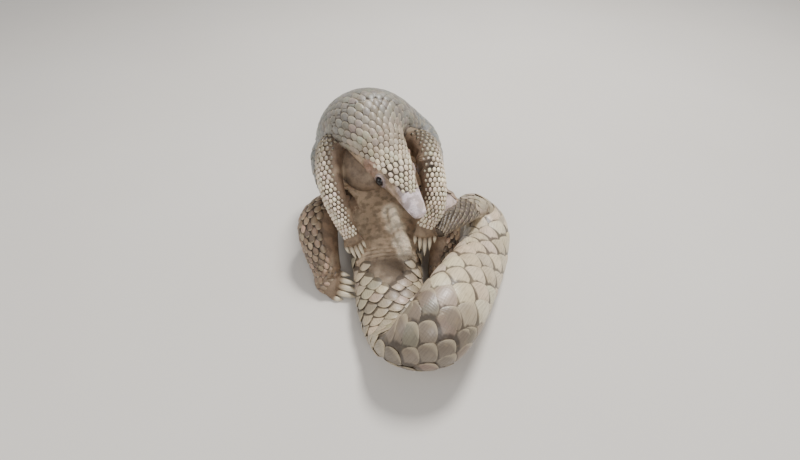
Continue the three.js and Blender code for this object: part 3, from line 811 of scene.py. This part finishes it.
def mouth(points, sign):
    """The line of the mouth, from under the nose back along the jaw, with a lip beside it."""
    away = np.full(len(points), np.inf)
    for k in range(MOUTH_STEPS):
        t = k / (MOUTH_STEPS - 1)
        spot = head_point(1 + 27 * t, sign * (7.9 + 6.2 * t), -4.2 - 1.2 * t)
        away = np.minimum(away, distance(points, spot * MM) / MM)
    return -MOUTH_DEPTH * ridge(away, 0, MOUTH_WIDTH) + LIP_HEIGHT * ridge(away, LIP_AT, LIP_WIDTH)


def ear_hollow(points, sign):
    away = points - EAR_AT[sign]
    hollow = np.hypot((away @ HEAD_AXIS) / (3.4 * MM), (away @ HEAD_TOP) / (6 * MM))
    return -EAR_DEPTH * np.exp(-(hollow**2)) * (distance(points, EAR_AT[sign]) < 16 * MM)


def carve(skin, form, s, angle):
    """Pushes the skin in and out by its relief."""
    points = points_of(skin.data)
    normals = points_of(skin.data, "normal")
    push = FOLDS_HEIGHT * belly_folds(form, s, angle)
    for sign in (1, -1):
        push += lids(points, sign)
        push += nostril(points, sign)
        push += mouth(points, sign)
        push += ear_hollow(points, sign)
    points = on_floor(points + normals * (push * MM)[:, None], SKIN_LEAST)
    move_points(skin.data, points)
    skin.data.update()


# Forms are numbered: the spine, then the legs, then the pads of the feet
SPINE_FORM = 0
FIRST_LEG = 1
FIRST_PAD = FIRST_LEG + len(legs)


class Places:
    """Finds, for points on the skin, the form they lie on and where along and round it."""

    STEP = 3 * MM
    AROUND = 36
    # A leg's root lies inside the trunk
    HIDDEN = 24 * MM

    def __init__(self):
        self.paths = [spine, *legs.values(), *pads.values()]
        spots, self.form = [], []
        for index, path in enumerate(self.paths):
            hidden = self.HIDDEN if FIRST_LEG <= index < FIRST_PAD else 0
            s = np.arange(hidden, path.length, self.STEP)
            angles = np.linspace(-np.pi, np.pi, self.AROUND, endpoint=False)
            grid = path.surface(s[:, None], angles[None, :], 0.0).reshape(-1, 3)
            spots.append(grid)
            self.form += [(index, a, b) for a in s for b in angles]
        spots = np.vstack(spots)
        self.form = np.array(self.form)
        self.tree = KDTree(len(spots))
        for i, spot in enumerate(spots):
            self.tree.insert(spot, i)
        self.tree.balance()

    def find(self, points):
        nearest = np.array([self.tree.find(p)[1] for p in points])
        return self.form[nearest].T

    def chart(self, form, s, angle):
        """A place on the unwrap of the forms: a strip for each, with length across and turn upward."""
        lengths = np.array([path.length for path in self.paths])
        strips = np.cumsum([0, 0.3, *[0.1] * (len(self.paths) - 1)])
        form = form.astype(int)
        u = 0.02 + 0.96 * s / lengths[form] * np.where(form == SPINE_FORM, 1, 0.6)
        v = strips[form] * 0.9 + 0.01 + (np.diff(strips)[form] * 0.85) * (angle + np.pi) / (2 * np.pi)
        return u, v


def skin_tint(points, form, s, angle):
    """The bare skin's colours, and the dark of it where scales cover it."""
    on_spine = form == SPINE_FORM
    head = on_spine & (s < spine.marks[5])
    colours = np.tile(BELLY, (len(points), 1))

    def paint(share, colour):
        colours[:] = colours * (1 - share[:, None]) + np.array(colour) * share[:, None]

    def near(place, none, whole):
        return ramp(distance(points, place), none, whole)

    paint(head * ramp(s, 0.1, 0.0), CHEEK)
    strip = ridge(from_back(angle), 1.45, 0.28) * ramp(s, 58 * MM, 46 * MM)
    paint(head * strip * 0.8, CHEEK_STRIP)
    behind = s + 15 * MM * ramp(from_back(angle), 0.9, 1.4)
    paint(head * ramp(behind, 48 * MM, 25 * MM), SNOUT)
    paint((form == FIRST_LEG) | (form == FIRST_LEG + 1), FOREARM)
    paint((form == FIRST_LEG + 2) | (form == FIRST_LEG + 3), INNER_LEG)
    paint(form >= FIRST_PAD, FOOT)
    fold = np.min([distance(points, np.array(at) * MM) for at, *_ in BELLY_FOLD], axis=0)
    paint(ramp(fold, 18 * MM, 12 * MM), FOLD)
    cover = np.where(on_spine, spine_cover(angle, s), 0)
    for index, leg_cover in enumerate(LEG_COVERS.values(), start=FIRST_LEG):
        cover = np.where(form == index, leg_cover(angle, s), cover)
    strip = ramp(from_back(angle), 2.1, 2.7) * ramp(s, ROOT_SCALED - 26 * MM, ROOT_SCALED)
    paint(on_spine * strip * 0.85, ROOT_SKIN)
    paint(cover * 0.95, UNDER_SCALES)
    throat = Path(THROAT)
    middles, _, _, _, _, sizes = throat.frame(np.linspace(0, throat.length, 24))
    depths = [distance(points, middle) / size[0] for middle, size in zip(middles, sizes)]
    paint(ramp(np.min(depths, axis=0), 1.12, 1.0), THROAT_BROWN)
    paint(near(KNEE_AT, 24 * MM, 17 * MM), KNEE)
    for sign in (1, -1):
        paint(near(EYE_AT[sign], 13 * MM, 8 * MM), EYE_LIDS)
        paint(near(EAR_AT[sign], 15 * MM, 11 * MM), EAR)
    return colours


def unwrap_skin(mesh, places, form, s, angle):
    """The skin's own unwrap: each face lies in the strip of the form it belongs to."""
    loops = loops_of(mesh)
    totals = np.empty(len(mesh.polygons), np.int32)
    mesh.polygons.foreach_get("loop_total", totals)
    starts = np.concatenate([[0], np.cumsum(totals)[:-1]])
    first = np.repeat(loops[starts], totals)
    turn = angle[loops] - angle[first]
    turned = angle[first] + np.arctan2(np.sin(turn), np.cos(turn))
    same = form[loops] == form[first]
    along = np.where(same, s[loops], s[first])
    u, v = places.chart(form[first], along, np.where(same, turned, angle[first]))
    set_uv(mesh, "OFBake", np.stack([u, v], axis=1))


places = Places()
skin = remeshed_skin()
refine_head(skin)
skin_form, skin_s, skin_angle = places.find(points_of(skin.data))
carve(skin, skin_form, skin_s, skin_angle)
skin_points = points_of(skin.data)
set_tint(skin.data, skin_tint(skin_points, skin_form, skin_s, skin_angle))
unwrap_skin(skin.data, places, skin_form, skin_s, skin_angle)
skin.data.shade_smooth()

FLESH = ["head", "neck", "torso", "tail_root", "tail_bend", "tail_middle", "tail_curl", "tail_tip"]
FLESH += ["ear_right", "ear_left", *LEGS, *FEET]
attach(skin, "root")
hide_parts(*FLESH)

# Scales

# A plate's faces across and along it, and its points
ACROSS = 8
ALONG = 8
ROWS, COLS = ALONG + 1, ACROSS + 1
PER_SIDE = ROWS * COLS

# All the way round, and the steps in which a row's width is measured
FULL = math.pi
ARC_STEPS = 180

# The least share of cover that grows a scale, how far one runs past a path's end, and how deep it sits
LEAST_SHARE = 0.12
CLOSING = 7 * MM
ROOT_SUNK = 0.4 * MM
INNER_SUNK = 0.15 * MM

# A bead shows the outer part of the horn's pattern, and a plate takes a small patch of the unwrap
BEAD_SHOWS_FROM = 0.5
PATCH = 0.003


class Kind:
    """How the scales of one stretch look. Lengths are in millimetres."""

    # faint lightens the painted shade under the row before
    def __init__(self, columns, arc, ratio, tint, rise=2.6, thick=0.9, bow=0.3, point=2.0, dome=0.5,
                 overlap=1.9, width=1.04, taper=0.15, slant=0.0, bead=False, vary=0.12, begins=None,
                 fade=26, faint=0.0, dims=0.0):
        self.columns, self.arc, self.ratio, self.tint = columns, arc, ratio, np.array(tint)
        self.rise, self.thick, self.bow, self.point = rise * MM, thick * MM, bow, point
        self.dome, self.overlap, self.width, self.taper = dome * MM, overlap, width, taper
        self.slant, self.bead, self.vary = slant, bead, vary
        self.begins = self.tint if begins is None else np.array(begins)
        self.fade, self.faint, self.dims = fade * MM, faint, dims


def varied(amount, shape):
    """Factors that vary at random round 1."""
    return 1 + rng.normal(0, amount, shape)


def lattice(path, start, end, kind):
    """The roots of the scales: rows along the path, each half a scale round from the last."""
    fractions = np.linspace(-kind.arc, kind.arc, ARC_STEPS + 1)
    roots = []
    s, row = start, 0
    while s < end:
        arc = np.concatenate([[0], np.cumsum(path.spread(s, fractions[1:]) * np.diff(fractions))])
        spacing = arc[-1] / kind.columns
        odd = row % 2
        count = kind.columns + (0 if kind.arc == FULL or odd else 1)
        along = (np.arange(count) + 0.5 * odd) * spacing
        angles = np.interp(along, arc, fractions)
        stretch = 1 - float(path.inward(s, 0.0))
        pitch = kind.ratio * spacing
        roots += [(s, angle, spacing, pitch) for angle in angles]
        s += pitch / np.clip(stretch, 0.6, 2.5)
        row += 1
    return np.array(roots).T


def grown(path, start, end, kind, cover, bare):
    """The roots that grow a scale: place along and round, spacing, pitch and share of cover."""
    s, angle, spacing, pitch = lattice(path, start, end, kind)
    middle = s + pitch * 0.5
    share = cover(angle, middle)
    keep = share > LEAST_SHARE
    if bare is not None:
        place, radius = bare
        keep &= distance(path.surface(middle, angle), place) > radius
    return [values[keep] for values in (s, angle, spacing, pitch, share)]


def plate_grid(kind):
    """Spots across and along a plate, with the reach of its tip and sides and its dome there."""
    u = np.linspace(-1, 1, COLS)[None, None, :]
    v = np.linspace(0, 1, ROWS)[None, :, None] ** 0.85
    if kind.bead:
        v = 0.015 + 0.97 * v
        tip = 1.0
        side = (1 - np.abs(2 * v - 1) ** 3.5) ** (1 / 2.2)
        dome = kind.dome * (1 - u**2) * np.sqrt(4 * v * (1 - v))
    else:
        tip = 1 - kind.bow * np.abs(u) ** kind.point * v**2
        side = 0.9 + 0.1 * np.sin(np.pi * v) - kind.taper * v**3
        dome = kind.dome * (np.sin(np.pi * np.clip(v * 0.9 + 0.1, 0, 1)) * (1 - u**2) - 0.5 * u**2)
    return u, v, tip, side, dome


def plate_points(path, kind, s, angle, spacing, pitch, share):
    """The outer and inner points of every plate, varied a little in size and lie."""
    count = len(s)
    size = (0.55 + 0.45 * share) * varied(0.07 if kind.bead else 0.02, count)
    stretch = np.clip(1 - path.inward(s + pitch * 0.5, angle), 0.45, 2.5)
    length = kind.overlap * pitch * size * varied(0.03, count)
    length = length / np.sqrt(stretch) / np.sqrt(np.maximum(stretch, 1))
    half = 0.5 * spacing * kind.width * size * varied(0.03, count)
    rise = kind.rise * (0.3 + 0.7 * share) * varied(0.07, count) * np.clip(1.4 * stretch, 0.3, 1)
    twist = kind.slant + rng.normal(0, 0.035, count)
    root, turn, length, half, rise, twist = (
        values[:, None, None] for values in (s, angle, length, half, rise, twist))

    u, v, tip, side, dome = plate_grid(kind)
    along = length * v * tip
    across = half * u * side
    s = root + along
    angle = turn + (across + twist * along) / path.spread(s, turn)
    rim = np.maximum(np.abs(u) ** 6, v**10)
    height = rise * v - ROOT_SUNK + dome - 0.35 * kind.thick * rim
    depth = kind.thick * (1 - 0.5 * rim) + INNER_SUNK
    beyond = np.maximum(0, s - path.length) / CLOSING
    closed = np.sqrt(np.clip(1 - beyond**2, 0.01, 1))
    outer = on_floor(path.surface(s, angle, height, closed), OUTER_LEAST)
    inner = on_floor(path.surface(s, angle, height - depth, closed), INNER_LEAST)
    sides = [outer.reshape(count, -1, 3), inner.reshape(count, -1, 3)]
    return np.concatenate(sides, axis=1).reshape(-1, 3)


def plate_faces(count):
    """The faces of so many closed plates: two grids each, and the rim between them."""
    quads = []
    for i in range(ALONG):
        for k in range(ACROSS):
            a = i * COLS + k
            quads.append((a, a + COLS, a + COLS + 1, a + 1))
            quads.append((PER_SIDE + a, PER_SIDE + a + 1, PER_SIDE + a + COLS + 1, PER_SIDE + a + COLS))
    border = [*range(COLS), *[i * COLS + ACROSS for i in range(1, ROWS)]]
    border += [ALONG * COLS + k for k in range(ACROSS - 1, -1, -1)]
    border += [i * COLS for i in range(ALONG - 1, 0, -1)]
    for a, b in zip(border, border[1:] + border[:1]):
        quads.append((a, b, PER_SIDE + b, PER_SIDE + a))
    starts = np.arange(count) * 2 * PER_SIDE
    return (np.array(quads)[None] + starts[:, None, None]).reshape(-1, 4)


def plate_pattern(kind):
    """Each point's spot, what it shows of the horn, and how clear of the other rows it lies."""
    u, v, _, _, _ = plate_grid(kind)
    u = np.tile(np.broadcast_to(u, (1, ROWS, COLS)).reshape(-1), 2)
    v = np.tile(np.broadcast_to(v, (1, ROWS, COLS)).reshape(-1), 2)
    spots = np.stack([u * 0.5 + 0.5, v], axis=1)
    if kind.bead:
        shown = spots.copy()
        shown[:, 1] = BEAD_SHOWS_FROM + (1 - BEAD_SHOWS_FROM) * shown[:, 1]
        return spots, shown, np.ones(len(spots))
    covered = 1 - kind.bow * (1 - np.abs(u)) ** kind.point - 1 / kind.overlap
    clear = np.minimum(v - covered, 0.6 * (1 - np.abs(u))).clip(0, 1) + kind.faint
    return spots, spots, clear


def coat(name, path, start, end, kind, cover, form, bare=None):
    """One piece of the coat: a thick curved plate for every root that the cover lets grow."""
    roots = grown(path, start, end, kind, cover, bare)
    s, angle, _, _, share = roots
    count = len(s)
    points = plate_points(path, kind, *roots)
    faces = plate_faces(count)
    obj = new_object(f"coat_{name}", points, faces.tolist(), SCALE)
    mesh = obj.data

    spots, shown, clear = plate_pattern(kind)
    which = np.repeat(np.arange(count), 2 * PER_SIDE)
    loops = faces.reshape(-1)
    set_uv(mesh, "Scale", np.tile(shown, (count, 1))[loops])
    at = np.stack(places.chart(np.full(count, form), s, np.arctan2(np.sin(angle), np.cos(angle))), axis=1)
    patch = at[which] + (np.tile(spots, (count, 1)) - 0.5) * PATCH
    set_uv(mesh, "OFBake", patch[loops])
    tone = varied(kind.vary, count)[:, None] * varied(0.03, (count, 3))
    fade = ramp(s, start + kind.fade, start)[:, None]
    tint = kind.tint * (1 - fade) + kind.begins * fade
    tone = tone * (1 - kind.dims * (1 - share[:, None]))
    set_tint(mesh, (tint * tone)[which], np.tile(clear, count))
    mesh.set_sharp_from_angle(angle=math.radians(50))
    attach(obj, "root")


DOME_GREY = [0.23, 0.24, 0.23]
NECK_GREY = [0.27, 0.25, 0.212]
CROWN = [0.46, 0.385, 0.29]
CREAM = [0.93, 0.81, 0.61]
FORELEG_CREAM = [0.95, 0.82, 0.64]
# The upper arm's grey-brown scales, painted dark as the shade under the body
SHADED_UPPER_ARM = [0.05, 0.04, 0.03]
TAIL_BEIGE = [0.72, 0.6, 0.42]
CURL_BEIGE = [0.41, 0.34, 0.25]
# The bend's grey-brown plates, darkened further as painted shade on its lower side
BEND_SHADED_GREY = [0.23, 0.18, 0.135]
ROOT_CREAM = [0.46, 0.375, 0.265]
# The tail's tip, painted dark as the shade it lies in under the curl
TIP_SHADE = [0.12, 0.092, 0.07]
LEG_PINK = [0.31, 0.21, 0.14]

mark = spine.marks
STRETCHES = [
    ("forehead", 25 * MM, 64 * MM,
     Kind(7, 1.2, 1.0, CREAM, rise=0.5, thick=1.0, dome=1.3, overlap=1.02, width=0.84, bead=True)),
    ("crown", 69 * MM, 108 * MM,
     Kind(12, 1.5, 1.0, CROWN, rise=0.7, dome=0.9, overlap=1.08, width=0.9, bead=True,
          begins=CREAM)),
    ("neck", 106 * MM, mark[7] - 4 * MM,
     Kind(15, 2.05, 0.85, NECK_GREY, rise=1.5, thick=0.8, bow=0.22, dome=0.8, overlap=1.6,
          begins=CROWN, faint=0.05)),
    ("torso", mark[7] - 8 * MM, mark[13],
     Kind(16, 2.05, 0.62, DOME_GREY, rise=3.0, dome=0.7, begins=NECK_GREY, faint=0.015)),
    ("tail_root", mark[13] - 2 * MM, mark[17] + 12 * MM,
     Kind(11, FULL, 0.48, ROOT_CREAM, rise=2.8, thick=1.0, point=1.7, dome=1.1, vary=0.18)),
    # The bend's plates are darkened as painted shade
    ("tail_bend", mark[17] + 10 * MM, mark[19] + 2 * MM,
     Kind(7, FULL, 0.66, BEND_SHADED_GREY, rise=2.2, thick=1.1, bow=0.24, point=1.7, dome=0.6,
          begins=ROOT_CREAM, fade=14)),
    ("tail_middle", mark[19] + 2 * MM, mark[24],
     Kind(6, FULL, 0.64, TAIL_BEIGE, rise=2.2, thick=1.2, point=1.4, dome=1.0, begins=BEND_SHADED_GREY,
          vary=0.08)),
    ("tail_curl", mark[24] - 4 * MM, mark[27],
     Kind(8, FULL, 0.72, CURL_BEIGE, rise=2.0, bow=0.28, point=1.6, dome=0.6)),
    # The tip's scales carry the painted shade of the curl
    ("tail_tip", mark[27] - 4 * MM, spine.length - 9 * MM,
     Kind(12, FULL, 1.15, TIP_SHADE, rise=1.4, thick=0.7, bow=0.4, dome=1.0, overlap=1.7, slant=0.22,
          vary=0.2)),
]
for name, start, end, kind in STRETCHES:
    coat(name, spine, start, end, kind, spine_cover, SPINE_FORM)

# The forelegs' beads start in the upper arm's painted shade and fade to cream
FORELEG = Kind(8, 1.5, 1.0, FORELEG_CREAM, rise=0.7, thick=1.1, dome=1.4, overlap=1.02, width=0.8,
               bead=True, vary=0.16, begins=SHADED_UPPER_ARM, fade=58, dims=0.7)
HINDLEG = Kind(9, 2.0, 0.8, LEG_PINK, rise=1.7, thick=1.0, bow=0.24, dome=1.5, overlap=1.35,
               width=0.84, vary=0.28)
PAW = Kind(6, 1.3, 1.0, FORELEG_CREAM, rise=0.5, thick=0.8, dome=0.8, overlap=1.0, width=0.8,
           bead=True, dims=0.7)
HIND_PAW = Kind(6, 1.5, 0.9, LEG_PINK, rise=0.9, thick=0.8, bow=0.24, dome=1.0, overlap=1.3,
                width=0.84, vary=0.25)
for index, (name, path) in enumerate(legs.items()):
    starts, kind = (26 * MM, FORELEG) if name.startswith("fore") else (24 * MM, HINDLEG)
    bare = (KNEE_AT, KNEE_RADIUS) if name == "hindleg_left" else None
    coat(name, path, starts, path.length - 2 * MM, kind, LEG_COVERS[name], FIRST_LEG + index, bare)

pad_cover = band(0.9)
for index, (name, path) in enumerate(pads.items()):
    share, kind = (0.45, PAW) if name.startswith("fore") else (0.6, HIND_PAW)
    coat(name, path, 0, path.length * share, kind, pad_cover, FIRST_PAD + index)

# Claws: a tapering horn, arched over and pointed


def claw(name, foot, end, radius, share):
    _, ahead, _, top = foot_frame(foot)
    length = foot["claw"] * share

    def horn(along, up, wide, high):
        return end + ahead * length * along + top * up, top, wide, high

    path = Path([
        horn(-0.05, 0, radius * 0.85, radius * 0.85),
        horn(0.25, radius * 0.35, radius * 0.85, radius * 0.8),
        horn(0.65, radius * 0.1, radius * 0.62, radius * 0.58),
        horn(0.98, -radius * 0.7, 0.5, 0.45),
    ])
    points, faces = tube(path, 0, path.length, 0, domes=(0, 0.6 * MM), around=16, step=1 * MM)
    obj = new_object(name, points, faces, CLAW)
    mesh = obj.data
    spots = points_of(mesh)
    along = (spots / MM - end) @ ahead / length
    round_it = (spots / MM - end) @ np.cross(ahead, top) / (2 * radius) + 0.5
    set_uv(mesh, "Scale", np.stack([round_it, along], axis=1)[loops_of(mesh)])
    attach(obj, "root")
    return obj


for name, foot in FEET.items():
    for i, (root, end, radius, share) in enumerate(toes_of(foot)):
        piece = claw(f"horn_{name}_{i + 1}", foot, end, radius, share)
        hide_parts(f"claw_{name}_{i + 1}")

# Eyes: a dark ball set into its lids, and bulging in front
BALL_RADIUS = EYE_RADIUS * 0.94
BULGE = 0.12
BULGE_FROM = 0.6 * EYE_RADIUS
for side, sign in (("right", 1), ("left", -1)):
    bpy.ops.mesh.primitive_uv_sphere_add(segments=40, ring_count=24, radius=BALL_RADIUS,
                                         location=EYE_AT[sign])
    eye = bpy.context.object
    eye.name = f"eyeball_{side}"
    eye.data.materials.append(EYE)
    eye.data.shade_smooth()
    bulge = points_of(eye.data)
    out = EYE_OUT[sign]
    bulge += out * (BULGE * np.maximum(0, bulge @ out - BULGE_FROM))[:, None]
    move_points(eye.data, bulge)
    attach(eye, "root")
    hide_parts(f"eye_{side}")

# Floor, light and camera


def stage_material():
    n = Nodes("pale_floor", roughness=0.7, specular=0.25)
    soft = n.noise(n.place(), 3.0)
    n.link("Base Color", n.mix(soft, FLOOR_DARK, FLOOR_LIGHT))
    return n.material


bpy.ops.mesh.primitive_plane_add(size=12, location=(0, 0, 0))
floor = bpy.context.object
floor.name = "floor"
floor.data.materials.append(stage_material())


def area_light(name, place, target, size, power, colour):
    light = bpy.data.lights.new(name, "AREA")
    light.shape = "DISK"
    light.size = size
    light.energy = power
    light.color = colour
    obj = bpy.data.objects.new(name, light)
    obj.location = place
    obj.rotation_euler = (Vector(target) - Vector(place)).to_track_quat("-Z", "Y").to_euler()
    scene.collection.objects.link(obj)


area_light("key", (0.5, 0.8, 1.8), (0, 0, 0.05), 0.5, 46, (1, 0.98, 0.95))
area_light("fill", (-1.3, -0.7, 1.2), (0, -0.05, 0.05), 1.2, 7, (0.95, 0.97, 1))
area_light("front", (0.5, -1.5, 1.3), (0, -0.05, 0.05), 0.7, 10, (1, 0.98, 0.96))

world = bpy.data.worlds.new("studio")
world.use_nodes = True
background = world.node_tree.nodes["Background"]
background.inputs["Color"].default_value = (0.95, 0.95, 0.97, 1)
background.inputs["Strength"].default_value = 0.4
scene.world = world

# The camera, in metres, degrees and pixels of the picture; its sensor in millimetres
CAMERA_AT = (0.023, -0.423, 0.450)
CAMERA_DOWN = 46
FOCAL_PIXELS = 392
IMAGE_WIDTH = 800
SENSOR_WIDTH = 36
camera = bpy.data.cameras.new("camera")
camera.sensor_width = SENSOR_WIDTH
camera.lens = SENSOR_WIDTH * FOCAL_PIXELS / IMAGE_WIDTH
camera.clip_start = 0.01
camera_object = bpy.data.objects.new("camera", camera)
camera_object.location = CAMERA_AT
camera_object.rotation_euler = (math.radians(90 - CAMERA_DOWN), 0, 0)
scene.collection.objects.link(camera_object)
scene.camera = camera_object
